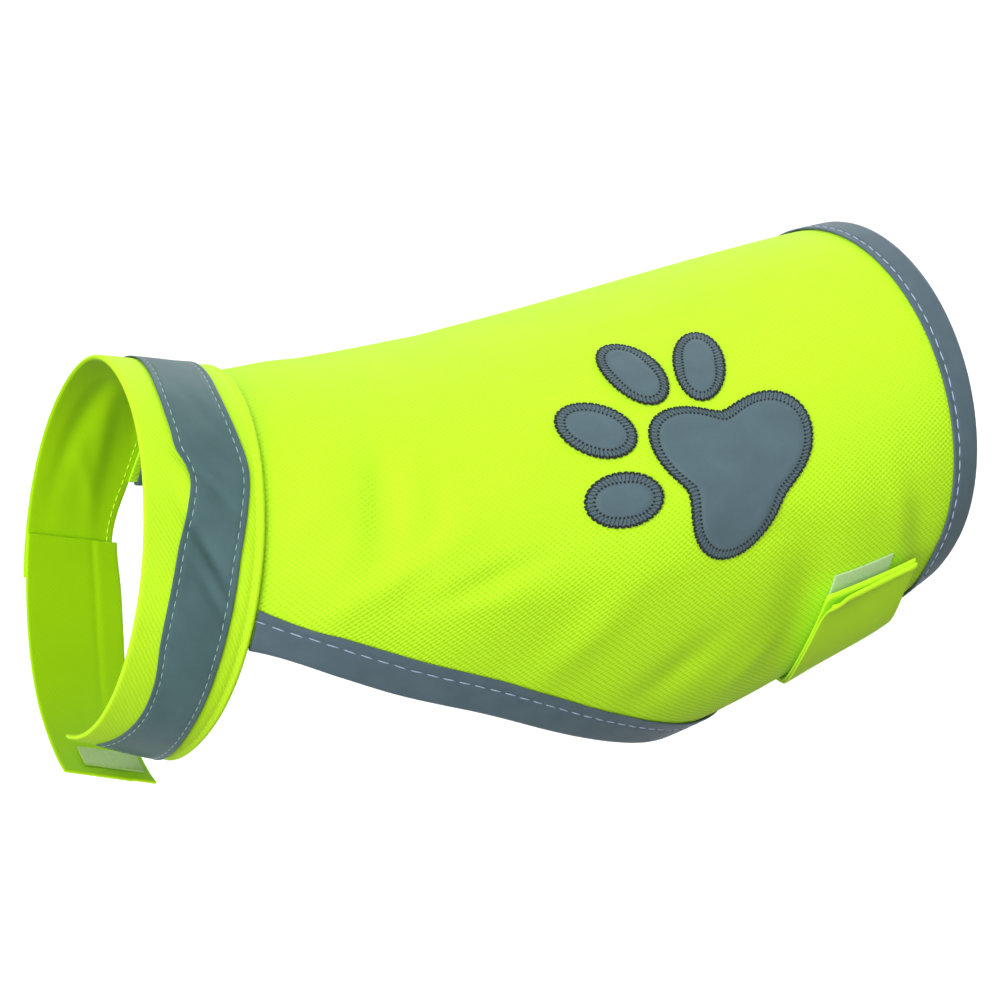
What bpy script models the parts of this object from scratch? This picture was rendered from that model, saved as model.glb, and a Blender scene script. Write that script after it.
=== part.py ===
"""Dog safety vest: hollow cloth forms held in their worn shape, with no wearer inside.

Millimetres in the tables, metres in the scene. X runs from the neck (-X) to the
hem (+X), the near flank is -Y, Z is up. The origin is the point under the spine
where the wearer's back carries the vest.

Angles round the body are measured from the spine: 0 is the spine, +90 the near
flank, 180 the belly, -90 the far flank. "along" is 0 at the collar's rear edge
and 1 at the hem.
"""
import bpy
import bmesh
import numpy as np

MM = 0.001

# ---------------------------------------------------------------- cloth, mm
PANEL_THICK = 1.2
COLLAR_THICK = 1.6          # two layers of the same cloth
TAPE_THICK = 1.0
BINDING_THICK = 1.0
STRAP_THICK = 1.3
TAB_THICK = 1.2
MOTIF_THICK = 1.0
FASTENER_THICK = 1.0
SEAM_GAP = 0.3

LEG_BINDING_WIDE = 12.5
HEM_BINDING_WIDE = 10.0

# height of the wearer's back above the ring centres, mm: the origin is put there
BACK_HEIGHT = 53.4

# ---------------------------------------------------------------- the worn form
# rings the cloth hangs on: centre, backward lean of the top, half width, half height
RING = {
    "collar front": dict(x=-139.7, z=14.5, lean=16.5, wide=56.0, high=58.0),
    "collar rear": dict(x=-107.0, z=3.0, lean=18.5, wide=59.5, high=61.0),
    "hem": dict(x=142.0, z=4.3, lean=2.0, wide=68.6, high=65.0),
}
# where the collar's rear edge leaves its ring: angle, spread, forward, down
COLLAR_SHIFT = ((-107.0, 15.0, 3.2, 0.0), (158.0, 22.0, 0.0, 2.8))
# five equal steps from the collar's rear edge to the hem
HALF_WIDTH = (59.5, 70.0, 76.0, 76.2, 68.6)
SPINE_RISE = (61.0, 52.0, 52.4, 58.5, 65.0)
BELLY_DROP = (61.0, 95.5, 107.5, 97.0, 65.0)

# front edge of each wing, from the collar down to the belly: (along, angle)
LEG_EDGE = ((0.0, 88.6), (0.18, 103.9), (0.36, 114.8), (0.54, 130.8),
            (0.66, 147.0), (0.735, 162.0), (0.77, 176.0))
WING_END = 176.0            # the wings stop short of each other under the belly
COLLAR_LAP = 5.0            # how far the panel runs under the collar's rear edge

# soft folds of the panel: (along, angle, half length, half width, slant, height)
FOLDS = (
    (0.17, 62.0, 26.0, 11.0, 88.0, -1.6),
    (0.30, 88.0, 34.0, 11.0, 38.0, 1.5),
    (0.40, 102.0, 34.0, 12.0, 24.0, -1.2),
    (0.74, 106.0, 19.0, 10.0, 80.0, -2.0),
    (0.66, 84.0, 26.0, 9.0, 14.0, -1.3),
    (0.95, 112.0, 16.0, 12.0, 60.0, -0.8),
    (0.17, -66.0, 26.0, 11.0, 92.0, -1.5),
    (0.33, -90.0, 34.0, 11.0, 36.0, 1.5),
    (0.62, -100.0, 32.0, 11.0, 30.0, -1.6),
    (0.86, -70.0, 24.0, 12.0, 70.0, 1.3),
)
# soft dents of the collar in the same columns, "along" measured across the band
COLLAR_FOLDS = (
    (0.0, -24.0, 16.0, 22.0, 0.0, 1.2),
    (0.5, 62.0, 18.0, 8.0, 40.0, -0.9),
    (0.5, 84.0, 20.0, 8.0, 48.0, 0.8),
    (0.4, -78.0, 22.0, 9.0, 90.0, -1.2),
)

# collar pieces: angles round the neck at which they start and stop
BAND_FAR_END = -125.0
BAND_NEAR_END = (157.0, 168.0)  # cut on the slant: at the front edge, at the rear
TAPE_FAR_END, TAPE_NEAR_END = -120.0, 154.0
TAPE_HALF = 0.29            # half the tape's width as a share of the band's
TAB_TOP, TAB_END = -110.0, -205.0
# height of the tab's inner face over the collar's outer face: (angle, height)
TAB_PATH = ((-110.0, -3.1), (-130.0, -3.2), (-145.0, -2.6), (-160.0, -0.8),
            (-172.0, 1.2), (-184.0, 3.4), (-196.0, 6.4), (-205.0, 9.2))
HOOK_START, HOOK_END = -189.0, -201.0

# belly strap: where it starts on the far wing and ends on the near flank
STRAP_FRONT, STRAP_REAR = 0.76, 0.9
STRAP_ROOT, STRAP_TIP = -150.0, -258.0
# height of the strap's inner face over the panel: (angle, height)
STRAP_PATH = ((-150.0, 0.4), (-155.0, 1.9), (-180.0, 2.1), (-196.0, 2.0),
              (-212.0, 1.8), (-221.0, 1.0), (-236.0, 1.1), (-247.0, 2.1), (-258.0, 3.6))
STRAP_REAR_LIFT = 2.4
STRAP_SAG = dict(at=-195.0, spread=32.0, back=0.08)  # toward the hem under the belly
PATCH = dict(front=0.781, rear=0.873, top=100.0, bottom=107.0)

# paw motif on the near flank: centre (along, angle); the toes are ellipses with
# half length, half width and the slant of their length, the pad has three lobes
PAD_CENTRE = (0.63, 61.0)
PAD_OUTLINE = ((30.0, 28.0), (96.0, 18.8), (143.0, 34.0), (190.0, 20.5),
               (250.0, 29.5), (318.0, 17.0))
TOES = {
    "paw_toe_front_top": dict(at=(0.531, 23.8), long=15.2, wide=8.8, slant=101.0),
    "paw_toe_rear_top": dict(at=(0.621, 27.7), long=14.5, wide=8.2, slant=69.0),
    "paw_toe_middle": dict(at=(0.446, 38.9), long=13.2, wide=9.3, slant=-38.0),
    "paw_toe_low": dict(at=(0.458, 61.4), long=12.7, wide=8.1, slant=-7.0),
}

FINISH = {
    "hi_vis_polyester": ("C6F62E", 0.75),
    "reflective_cloth": ("64757B", 0.55),
    "hook_and_loop": ("A8CE7C", 0.85),
}


# ---------------------------------------------------------------- small tools
def smooth(t):
    t = np.clip(t, 0.0, 1.0)
    return t * t * (3.0 - 2.0 * t)


def through(values):
    """Polynomial through equally spaced values on 0..1."""
    k = np.polyfit(np.linspace(0.0, 1.0, len(values)), values, len(values) - 1)
    return lambda u: np.polyval(k, u)


def eased(rows, at):
    """Table value at a position, easing from each row to the next."""
    a = np.array([r[0] for r in rows])
    b = np.array([r[1] for r in rows])
    if a[0] > a[-1]:
        a, b = a[::-1], b[::-1]
    at = np.clip(at, a[0], a[-1])
    i = np.clip(np.searchsorted(a, at) - 1, 0, len(a) - 2)
    slope = np.gradient(b, a)
    h = a[i + 1] - a[i]
    t = (at - a[i]) / h
    return ((2 * t**3 - 3 * t**2 + 1) * b[i] + (t**3 - 2 * t**2 + t) * h * slope[i]
            + (3 * t**2 - 2 * t**3) * b[i + 1] + (t**3 - t**2) * h * slope[i + 1])


def oval(x, z, lean, wide, high, angle):
    a, tilt = np.radians(angle), np.radians(lean)
    up = high * np.cos(a)
    return np.stack([x + up * np.sin(tilt), -wide * np.sin(a), z + up * np.cos(tilt)], -1)


def folds(table, u, angle, length, radius):
    total = 0.0
    for u0, a0, half_long, half_wide, slant, high in table:
        p = (u - u0) * length
        q = np.radians(angle - a0) * radius
        c, s = np.cos(np.radians(slant)), np.sin(np.radians(slant))
        total = total + high * np.exp(-((p * c + q * s) / half_long) ** 2
                                      - ((q * c - p * s) / half_wide) ** 2)
    return total


def with_height(surface, u, angle, high):
    """Point of a surface moved out along its normal."""
    e = 1e-3
    u, angle, high = np.broadcast_arrays(u, angle, high)
    across = surface(u, angle + 0.5) - surface(u, angle - 0.5)
    along = surface(u + e, angle) - surface(u - e, angle)
    n = np.cross(across, along)
    n /= np.linalg.norm(n, axis=-1, keepdims=True)
    return surface(u, angle) + n * high[..., None]


# ---------------------------------------------------------------- the surfaces
half_width, spine_rise, belly_drop = map(through, (HALF_WIDTH, SPINE_RISE, BELLY_DROP))


def body_form(u, angle):
    a, b = RING["collar rear"], RING["hem"]
    high = np.where(np.cos(np.radians(angle)) >= 0.0, spine_rise(u), belly_drop(u))
    return oval(a["x"] + (b["x"] - a["x"]) * u, a["z"] + (b["z"] - a["z"]) * u,
                a["lean"] + (b["lean"] - a["lean"]) * u, half_width(u), high, angle)


def collar_form(v, angle):
    a, b = RING["collar front"], RING["collar rear"]
    mix = {k: a[k] + (b[k] - a[k]) * v for k in a}
    at = oval(mix["x"], mix["z"], mix["lean"], mix["wide"], mix["high"], angle)
    for a0, spread, forward, down in COLLAR_SHIFT:
        part = v * np.exp(-((angle - a0) / spread) ** 2)
        at = at - np.stack([forward * part, 0.0 * part, down * part], -1)
    return at


def collar(v, angle, high=0.0):
    soft = folds(COLLAR_FOLDS, v, angle, 34.0, 60.0) * smooth((1.0 - v) / 0.5)
    return with_height(collar_form, v, angle, high + soft)


def panel(u, angle, high=0.0):
    """The main panel's outer face; below 0 it runs on under the collar."""
    u, angle, high = np.broadcast_arrays(np.asarray(u, float), angle, high)
    under = -(COLLAR_THICK + SEAM_GAP)
    sink = under * (1.0 - smooth(u / 0.12))
    soft = folds(FOLDS, u, angle, 250.0, 70.0) * smooth(u / 0.10)
    free = with_height(body_form, np.maximum(u, 0.0), angle, high + sink + soft)
    tucked = with_height(collar_form, 1.0 + np.minimum(u, 0.0) * 7.2, angle, high + under)
    return np.where((u < 0.0)[..., None], tucked, free)


def leg_edge(k):
    """(along, angle) of the wing's front edge, k from 0 at the collar to 1."""
    rows = np.linspace(0.0, 1.0, len(LEG_EDGE))
    return (eased([(r, e[0]) for r, e in zip(rows, LEG_EDGE)], k),
            eased([(r, e[1]) for r, e in zip(rows, LEG_EDGE)], k))


# ---------------------------------------------------------------- scene helpers
for ob in list(bpy.data.objects):
    bpy.data.objects.remove(ob, do_unlink=True)
garment = bpy.data.collections.new("dog_safety_vest")
bpy.context.scene.collection.children.link(garment)


def channel(code):
    c = int(code, 16) / 255.0
    return c / 12.92 if c <= 0.04045 else ((c + 0.055) / 1.055) ** 2.4


def material(piece, finish):
    code, rough = FINISH[finish]
    mat = bpy.data.materials.new(piece + "_" + finish)
    mat.use_nodes = True
    surface = mat.node_tree.nodes["Principled BSDF"]
    surface.inputs["Base Color"].default_value = [channel(code[i:i + 2]) for i in (0, 2, 4)] + [1.0]
    surface.inputs["Roughness"].default_value = rough
    return mat


def cloth(name, shape, cells, thick, side, finish):
    """A grid laid on a surface and thickened: side 1 outward, -1 inward, 0 both.

    shape takes two arrays on 0..1, the second running toward the hem, and
    returns points in millimetres.
    """
    bm = bmesh.new()
    bmesh.ops.create_grid(bm, x_segments=cells[0], y_segments=cells[1], size=1.0)
    flat = np.array([v.co[:2] for v in bm.verts]) * 0.5 + 0.5
    laid = shape(flat[:, 0], flat[:, 1])
    laid = (laid - np.array([0.0, 0.0, BACK_HEIGHT])) * MM
    for v, p in zip(bm.verts, laid):
        v.co = p
    for f in bm.faces:
        f.smooth = True
    mesh = bpy.data.meshes.new(name)
    bm.to_mesh(mesh)
    bm.free()
    mesh.materials.append(material(name, finish))
    ob = bpy.data.objects.new(name, mesh)
    garment.objects.link(ob)
    solid = ob.modifiers.new("thickness", "SOLIDIFY")
    solid.thickness = thick * MM
    solid.offset = side
    solid.use_even_offset = True
    return ob


def between(a, b, t):
    return a + (b - a) * t


# ---------------------------------------------------------------- main panel
LEG_CELLS, TAIL_CELLS, ROUND_CELLS = 23, 8, 54
edge_steps = np.linspace(0.0, 1.0, LEG_CELLS + 1) ** 1.15
rows_u, rows_angle = leg_edge(edge_steps)
rows_u = np.concatenate([[-COLLAR_LAP / 250.0], rows_u,
                         np.linspace(rows_u[-1], 1.0, TAIL_CELLS + 1)[1:]])
rows_angle = np.concatenate([rows_angle[:1], rows_angle, np.full(TAIL_CELLS, WING_END)])


def main_panel(s, t):
    i = np.rint(t * (len(rows_u) - 1)).astype(int)
    return panel(rows_u[i], rows_angle[i] * (2.0 * s - 1.0))


cloth("main_panel", main_panel, (ROUND_CELLS, len(rows_u) - 1), PANEL_THICK, -1.0,
      "hi_vis_polyester")


# ---------------------------------------------------------------- collar
def collar_band(s, t):
    near = between(BAND_NEAR_END[0], BAND_NEAR_END[1], t)
    return collar(t, between(BAND_FAR_END, near, s))


def tape_middle(angle):
    return (0.53 + 0.05 * np.exp(-((angle - 38.0) / 22.0) ** 2)
            - 0.04 * np.exp(-((angle - 85.0) / 24.0) ** 2))


def collar_tape(s, t):
    angle = between(TAPE_FAR_END, TAPE_NEAR_END, s)
    v = tape_middle(angle) + TAPE_HALF * (2.0 * t - 1.0)
    return collar(v, angle, SEAM_GAP)


def tab_edges(angle):
    run = smooth((-140.0 - angle) / 55.0)
    return between(0.0, 0.03, run), between(1.03, 0.94, run)


def tab_point(angle, t, more=0.0):
    front, rear = tab_edges(angle)
    return with_height(collar_form, between(front, rear, t), angle,
                       eased(TAB_PATH, angle) + more)


def collar_tab(s, t):
    return tab_point(between(TAB_END, TAB_TOP, s), t)


def collar_hook(s, t):
    return tab_point(between(HOOK_END, HOOK_START, s), between(0.26, 0.92, t), -SEAM_GAP)


cloth("collar_band", collar_band, (48, 5), COLLAR_THICK, -1.0, "hi_vis_polyester")
cloth("collar_tape", collar_tape, (45, 3), TAPE_THICK, 1.0, "reflective_cloth")
cloth("collar_tab", collar_tab, (24, 4), TAB_THICK, 1.0, "hi_vis_polyester")
cloth("collar_hook_strip", collar_hook, (5, 4), FASTENER_THICK, -1.0, "hook_and_loop")


# ---------------------------------------------------------------- bindings
def fold_over(wide):
    """Half section of a binding folded over an edge: (distance inside the edge,
    height over the panel's outer face), from the outer leg round to the inner."""
    top = SEAM_GAP + 0.1 + 0.5 * BINDING_THICK
    low = -PANEL_THICK - top
    beyond = -(SEAM_GAP + 0.5 * BINDING_THICK)
    return np.array([(wide, top), (0.66 * wide, top), (0.33 * wide, top), (0.0, top),
                     (beyond, top - 0.6), (beyond, low + 0.6),
                     (0.0, low), (0.33 * wide, low), (0.66 * wide, low), (wide, low)])


def edge_frame(u, angle, du, da):
    """Unit direction in the cloth that points off the edge, and its steps in
    along and angle for one millimetre."""
    e = 1e-3
    s_u = (panel(u + e, angle) - panel(np.maximum(u - e, 1e-4), angle))
    s_u /= (u + e - np.maximum(u - e, 1e-4))[..., None]
    s_a = panel(u, angle + 0.5) - panel(u, angle - 0.5)
    run = s_u * du[..., None] + s_a * da[..., None]
    run /= np.linalg.norm(run, axis=-1, keepdims=True)
    n = np.cross(s_a, s_u)
    n /= np.linalg.norm(n, axis=-1, keepdims=True)
    off = np.cross(run, n)
    g11, g12, g22 = (s_u * s_u).sum(-1), (s_u * s_a).sum(-1), (s_a * s_a).sum(-1)
    b1, b2 = (off * s_u).sum(-1), (off * s_a).sum(-1)
    det = g11 * g22 - g12 * g12
    return off, n, (g22 * b1 - g12 * b2) / det, (g11 * b2 - g12 * b1) / det


def folded(u, angle, du, da, wide, t):
    section = fold_over(wide)
    i = np.rint(t * (len(section) - 1)).astype(int)
    inside, high = section[i, 0], section[i, 1]
    off, n, step_u, step_a = edge_frame(u, angle, du, da)
    held = np.maximum(inside, 0.0)
    uu = np.maximum(u - step_u * held, 0.004)
    on_cloth = panel(uu, angle - step_a * held, high)
    return on_cloth + off * np.maximum(-inside, 0.0)[..., None]


def leg_binding(sign):
    def shape(s, t):
        i = s if sign < 0 else 1.0 - s
        k = np.interp(i, np.linspace(0.0, 1.0, len(edge_steps) - 1),
                      np.append(0.004, edge_steps[1:-1]))
        u, angle = leg_edge(k)
        u2, angle2 = leg_edge(np.clip(k + 1e-3, 0.0, 1.0))
        u1, angle1 = leg_edge(np.clip(k - 1e-3, 0.0, 1.0))
        return folded(u, sign * angle, sign * (u2 - u1), angle2 - angle1,
                      LEG_BINDING_WIDE, 1.0 - t)
    return shape


def hem_binding(s, t):
    angle = 0.985 * WING_END * (2.0 * s - 1.0)
    u = np.full_like(angle, 1.0)
    return folded(u, angle, 0.0 * u, -1.0 + 0.0 * u, HEM_BINDING_WIDE, t)


cloth("near_leg_binding", leg_binding(1.0), (LEG_CELLS - 1, 9), BINDING_THICK, 0.0, "reflective_cloth")
cloth("far_leg_binding", leg_binding(-1.0), (LEG_CELLS - 1, 9), BINDING_THICK, 0.0, "reflective_cloth")
cloth("hem_binding", hem_binding, (48, 9), BINDING_THICK, 0.0, "reflective_cloth")


# ---------------------------------------------------------------- belly strap
def belly_strap(s, t):
    angle = between(STRAP_TIP, STRAP_ROOT, s)
    stand_off = STRAP_REAR_LIFT * smooth(t) * np.exp(-((angle + 232.0) / 14.0) ** 2)
    sag = STRAP_SAG["back"] * np.exp(-((angle - STRAP_SAG["at"]) / STRAP_SAG["spread"]) ** 2)
    return panel(between(STRAP_FRONT, STRAP_REAR, t) + sag, angle,
                 eased(STRAP_PATH, angle) + stand_off)


def belly_patch(s, t):
    return panel(between(PATCH["front"], PATCH["rear"], t),
                 between(PATCH["top"], PATCH["bottom"], s), SEAM_GAP)


cloth("belly_strap", belly_strap, (26, 5), STRAP_THICK, 1.0, "hi_vis_polyester")
cloth("belly_fastener_patch", belly_patch, (4, 5), FASTENER_THICK, 1.0, "hook_and_loop")


# ---------------------------------------------------------------- paw motif
def spread(centre):
    """Millimetres per unit along and per degree at a point of the panel."""
    u, a = centre
    e = 1e-3
    return (np.linalg.norm(panel(u + e, a) - panel(u - e, a)) / (2.0 * e),
            np.linalg.norm(panel(u, a + 0.5) - panel(u, a - 0.5)))


def disc(s, t):
    """A square grid drawn into a unit disc."""
    x, y = 2.0 * s - 1.0, 2.0 * t - 1.0
    return x * np.sqrt(1.0 - 0.5 * y * y), y * np.sqrt(1.0 - 0.5 * x * x)


def on_flank(centre, toward_hem, toward_spine):
    per_u, per_degree = spread(centre)
    return panel(centre[0] + toward_hem / per_u, centre[1] - toward_spine / per_degree,
                 SEAM_GAP)


def pad_reach(turn):
    rows = list(PAD_OUTLINE) + [(PAD_OUTLINE[0][0] + 360.0, PAD_OUTLINE[0][1])]
    turn = (turn - rows[0][0]) % 360.0 + rows[0][0]
    a, b = np.array(rows).T
    i = np.clip(np.searchsorted(a, turn, side="right") - 1, 0, len(a) - 2)
    return between(b[i], b[i + 1], smooth((turn - a[i]) / (a[i + 1] - a[i])))


def paw_pad(s, t):
    y, x = disc(s, t)
    reach = pad_reach(np.degrees(np.arctan2(-y, x)))
    return on_flank(PAD_CENTRE, x * reach, -y * reach)


def paw_toe(toe):
    def shape(s, t):
        y, x = disc(s, t)
        c, d = np.cos(np.radians(toe["slant"])), np.sin(np.radians(toe["slant"]))
        turn = np.arctan2(-y, x) - np.radians(toe["slant"])
        reach = 1.0 / np.hypot(np.cos(turn) / toe["long"], np.sin(turn) / toe["wide"])
        return on_flank(toe["at"], x * reach, -y * reach)
    return shape


cloth("paw_pad", paw_pad, (14, 14), MOTIF_THICK, 1.0, "reflective_cloth")
for name, toe in TOES.items():
    cloth(name, paw_toe(toe), (8, 8), MOTIF_THICK, 1.0, "reflective_cloth")
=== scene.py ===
"""Looks of the dog safety vest: fluorescent cloth, grey reflective tape and binding,
hook-and-loop closures, a stitched-on paw motif and all the sewing.

Millimetres in the tables, metres in the meshes. The cloth is laid on the same forms
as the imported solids, finer and thinner, with its creases. Angles round the body are
measured from the spine: +90 is the near flank (-Y), 180 the belly, -90 the far flank.
"along" is 0 at the collar's rear edge and 1 at the hem.
"""

import bmesh
import bpy
import numpy as np
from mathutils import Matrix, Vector


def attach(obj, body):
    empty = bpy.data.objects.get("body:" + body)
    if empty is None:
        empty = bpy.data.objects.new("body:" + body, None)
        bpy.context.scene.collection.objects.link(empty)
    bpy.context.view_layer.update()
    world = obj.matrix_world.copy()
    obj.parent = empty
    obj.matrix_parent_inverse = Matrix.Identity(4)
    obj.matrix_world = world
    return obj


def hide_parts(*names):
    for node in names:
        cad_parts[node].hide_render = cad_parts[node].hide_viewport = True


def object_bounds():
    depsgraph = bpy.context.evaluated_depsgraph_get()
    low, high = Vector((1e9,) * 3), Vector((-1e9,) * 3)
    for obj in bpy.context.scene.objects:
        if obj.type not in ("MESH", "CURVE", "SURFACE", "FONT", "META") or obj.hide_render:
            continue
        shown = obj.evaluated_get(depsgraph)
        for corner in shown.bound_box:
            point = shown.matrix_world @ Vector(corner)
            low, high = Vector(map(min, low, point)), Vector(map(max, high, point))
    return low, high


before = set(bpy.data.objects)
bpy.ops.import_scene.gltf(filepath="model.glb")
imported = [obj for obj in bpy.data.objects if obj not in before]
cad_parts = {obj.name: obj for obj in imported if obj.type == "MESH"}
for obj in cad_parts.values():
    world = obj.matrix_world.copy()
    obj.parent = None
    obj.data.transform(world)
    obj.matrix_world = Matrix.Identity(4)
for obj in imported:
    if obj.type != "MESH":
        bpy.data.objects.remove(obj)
cad_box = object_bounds()

MM = 0.001
BODY = "root"

# ================================================================ cloth sizes, mm
PANEL_CLOTH = 0.8
COLLAR_THICK = 1.6
TAPE_CLOTH = 0.45
BINDING_CLOTH = 0.7
STRAP_LAYER = 0.8
TAB_CLOTH = 1.1
MOTIF_CLOTH = 0.6
FASTENER_CLOTH = 0.7
SEAM_GAP = 0.3

LEG_BINDING_WIDE = 12.5
HEM_BINDING_WIDE = 10.0
BACK_HEIGHT = 53.4          # of the wearer's back over the rings' own zero
PANEL_LONG, PANEL_RADIUS = 250.0, 70.0      # what distances on the panel are measured by
COLLAR_DEEP, COLLAR_RADIUS = 34.0, 60.0     # and on the collar
STITCH_SUNK = 0.12          # how deep a stitch lies in the cloth

# ================================================================ the worn form
RING = {
    "collar front": dict(x=-139.7, z=14.5, lean=16.5, wide=56.0, high=58.0),
    "collar rear": dict(x=-107.0, z=3.0, lean=18.5, wide=59.5, high=61.0),
    "hem": dict(x=142.0, z=4.3, lean=2.0, wide=68.6, high=65.0),
}
# where the collar's rear edge leaves its ring: angle, spread, forward, down
COLLAR_SHIFT = ((-107.0, 15.0, 3.2, 0.0), (158.0, 22.0, 0.0, 2.8))
# at five places, evenly spaced from the collar's rear edge to the hem
HALF_WIDTH = (59.5, 70.0, 76.0, 76.2, 68.6)
SPINE_RISE = (61.0, 52.0, 52.4, 58.5, 65.0)
BELLY_DROP = (61.0, 95.5, 107.5, 97.0, 65.0)

# front edge of each wing, from the collar down to the belly: (along, angle)
LEG_EDGE = ((0.0, 89.8), (0.18, 103.9), (0.36, 114.8), (0.54, 130.8),
            (0.66, 147.0), (0.735, 162.0), (0.77, 176.0))
WING_END = 176.0
COLLAR_LAP = 1.0            # the panel runs on this far under the collar
LAP_RATE = 7.2              # collar widths in one panel length
SINK_ENDS = 0.12            # "along" where the panel has risen level with the collar
FOLDS_FULL = 0.10           # and where its folds have their whole height

# folds of the panel: (along, angle, half length, half width, slant, height)
FOLDS = (
    (0.17, 62.0, 26.0, 11.0, 88.0, -1.6),
    (0.30, 88.0, 34.0, 11.0, 38.0, 1.5),
    (0.40, 102.0, 34.0, 12.0, 24.0, -1.2),
    (0.74, 106.0, 19.0, 10.0, 80.0, -2.0),
    (0.66, 84.0, 26.0, 9.0, 14.0, -1.3),
    (0.95, 112.0, 16.0, 12.0, 60.0, -0.8),
    (0.17, -66.0, 26.0, 11.0, 92.0, -1.5),
    (0.33, -90.0, 34.0, 11.0, 36.0, 1.5),
    (0.62, -100.0, 32.0, 11.0, 30.0, -1.6),
    (0.86, -70.0, 24.0, 12.0, 70.0, 1.3),
)
# creases of the drawn cloth, in the same columns: near flank, back, far flank
CREASES = (
    (0.150, 46.0, 20.0, 5.0, 98.0, -1.45),
    (0.185, 56.0, 22.0, 4.5, 104.0, 0.85),
    (0.215, 50.0, 15.0, 4.0, 92.0, -0.45),
    (0.18, 71.0, 25.0, 6.0, 146.0, 1.30),
    (0.28, 79.0, 17.0, 5.5, 160.0, -1.60),
    (0.43, 99.0, 17.0, 6.5, 144.0, 1.30),
    (0.58, 112.0, 14.0, 6.0, 147.0, -1.35),
    (0.70, 116.0, 15.0, 5.0, 130.0, 0.60),
    (0.92, 99.0, 15.0, 5.0, 66.0, -1.30),
    (0.87, 86.0, 17.0, 5.0, 72.0, 0.50),
    (0.04, 56.0, 13.0, 3.6, 136.0, 0.55),
    (0.07, 62.0, 12.0, 3.2, 128.0, -0.50),
    (0.10, 19.0, 12.0, 5.0, 143.0, -0.45),
    (0.60, 2.0, 26.0, 7.0, 2.0, 0.45),
    (0.80, 14.0, 20.0, 6.0, 20.0, -0.40),
    (0.14, -48.0, 19.0, 5.0, 84.0, -0.90),
    (0.20, -70.0, 24.0, 6.0, 38.0, 0.90),
    (0.31, -84.0, 16.0, 5.0, 22.0, -1.00),
    (0.46, -104.0, 19.0, 6.5, 34.0, 0.85),
    (0.60, -92.0, 13.0, 5.5, 40.0, -0.80),
    (0.90, -104.0, 16.0, 5.0, 112.0, -0.85),
    (0.78, -62.0, 22.0, 6.5, 156.0, 0.55),
    (0.34, -28.0, 20.0, 7.0, 120.0, -0.40),
)
# soft dents of the collar in the same columns, "along" measured across the band
COLLAR_FOLDS = (
    (0.0, -24.0, 16.0, 22.0, 0.0, 1.2),
    (0.5, 62.0, 18.0, 8.0, 40.0, -0.9),
    (0.5, 84.0, 20.0, 8.0, 48.0, 0.8),
    (0.4, -78.0, 22.0, 9.0, 90.0, -1.2),
)

# both are cut on the slant at the near end: at the front edge, at the rear edge
BAND_FAR_END, BAND_NEAR_END = -125.0, (157.0, 168.0)
TAPE_FAR_END, TAPE_NEAR_END = -120.0, (147.0, 158.0)
# the tape lies a little unevenly: (angle, front edge, rear edge), the edges as shares
# of the collar's width from its front edge
TAPE_EDGES = ((-120.0, 0.24, 0.81), (-70.0, 0.27, 0.80), (-22.0, 0.31, 0.83),
              (0.0, 0.27, 0.79), (12.0, 0.25, 0.775), (28.0, 0.265, 0.82),
              (35.0, 0.29, 0.855), (38.5, 0.345, 0.868), (52.0, 0.352, 0.84),
              (63.0, 0.285, 0.80), (74.0, 0.248, 0.79), (90.0, 0.24, 0.778),
              (105.0, 0.295, 0.785), (121.0, 0.30, 0.80), (135.0, 0.25, 0.83),
              (147.0, 0.195, 0.86), (158.0, 0.19, 0.88))
# creases of the collar in the columns of COLLAR_FOLDS: across the tape on the near
# side and its like on the far one, then softer ones that run round the far side
COLLAR_CREASES = (
    (0.49, 43.0, 11.0, 2.0, 47.0, -0.75),
    (0.56, 52.0, 12.0, 2.6, 50.0, 0.40),
    (0.54, 64.0, 13.5, 2.2, 58.0, -0.85),
    (0.58, 70.0, 12.0, 1.8, 56.0, 0.45),
    (0.61, 76.0, 8.5, 1.8, 52.0, -0.60),
    (0.62, 90.0, 9.0, 2.6, 60.0, -0.35),
    (0.45, 112.0, 9.0, 3.0, 66.0, -0.35),
    (0.55, 20.0, 10.0, 3.0, 74.0, -0.30),
    (0.50, -32.0, 10.0, 2.8, 60.0, -0.55),
    (0.50, -88.0, 11.0, 2.6, 118.0, -0.50),
    (0.30, -66.0, 26.0, 3.6, 84.0, 0.95),
    (0.55, -74.0, 30.0, 3.4, 98.0, -0.80),
    (0.80, -60.0, 24.0, 3.6, 106.0, 0.70),
)

TAB_TOP, TAB_END = -110.0, -205.0
TAB_PATH = ((-110.0, -3.1), (-130.0, -3.2), (-145.0, -2.6), (-160.0, -0.8),
            (-172.0, 1.2), (-184.0, 3.4), (-196.0, 6.4), (-205.0, 9.2))
HOOK_START, HOOK_END = -191.5, -201.0

STRAP_FRONT, STRAP_REAR = 0.76, 0.9
STRAP_ROOT, STRAP_TIP = -150.0, -258.0
STRAP_PATH = ((-150.0, 0.4), (-155.0, 1.9), (-180.0, 2.1), (-196.0, 2.0),
              (-212.0, 1.8), (-221.0, 1.0), (-236.0, 1.1), (-247.0, 2.1), (-258.0, 3.6))
STRAP_REAR_LIFT = dict(high=2.4, at=-232.0, spread=14.0)
STRAP_SAG = dict(at=-195.0, spread=32.0, back=0.08)  # toward the hem under the belly
PATCH = dict(front=0.781, rear=0.873, top=100.0, bottom=107.0)

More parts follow.
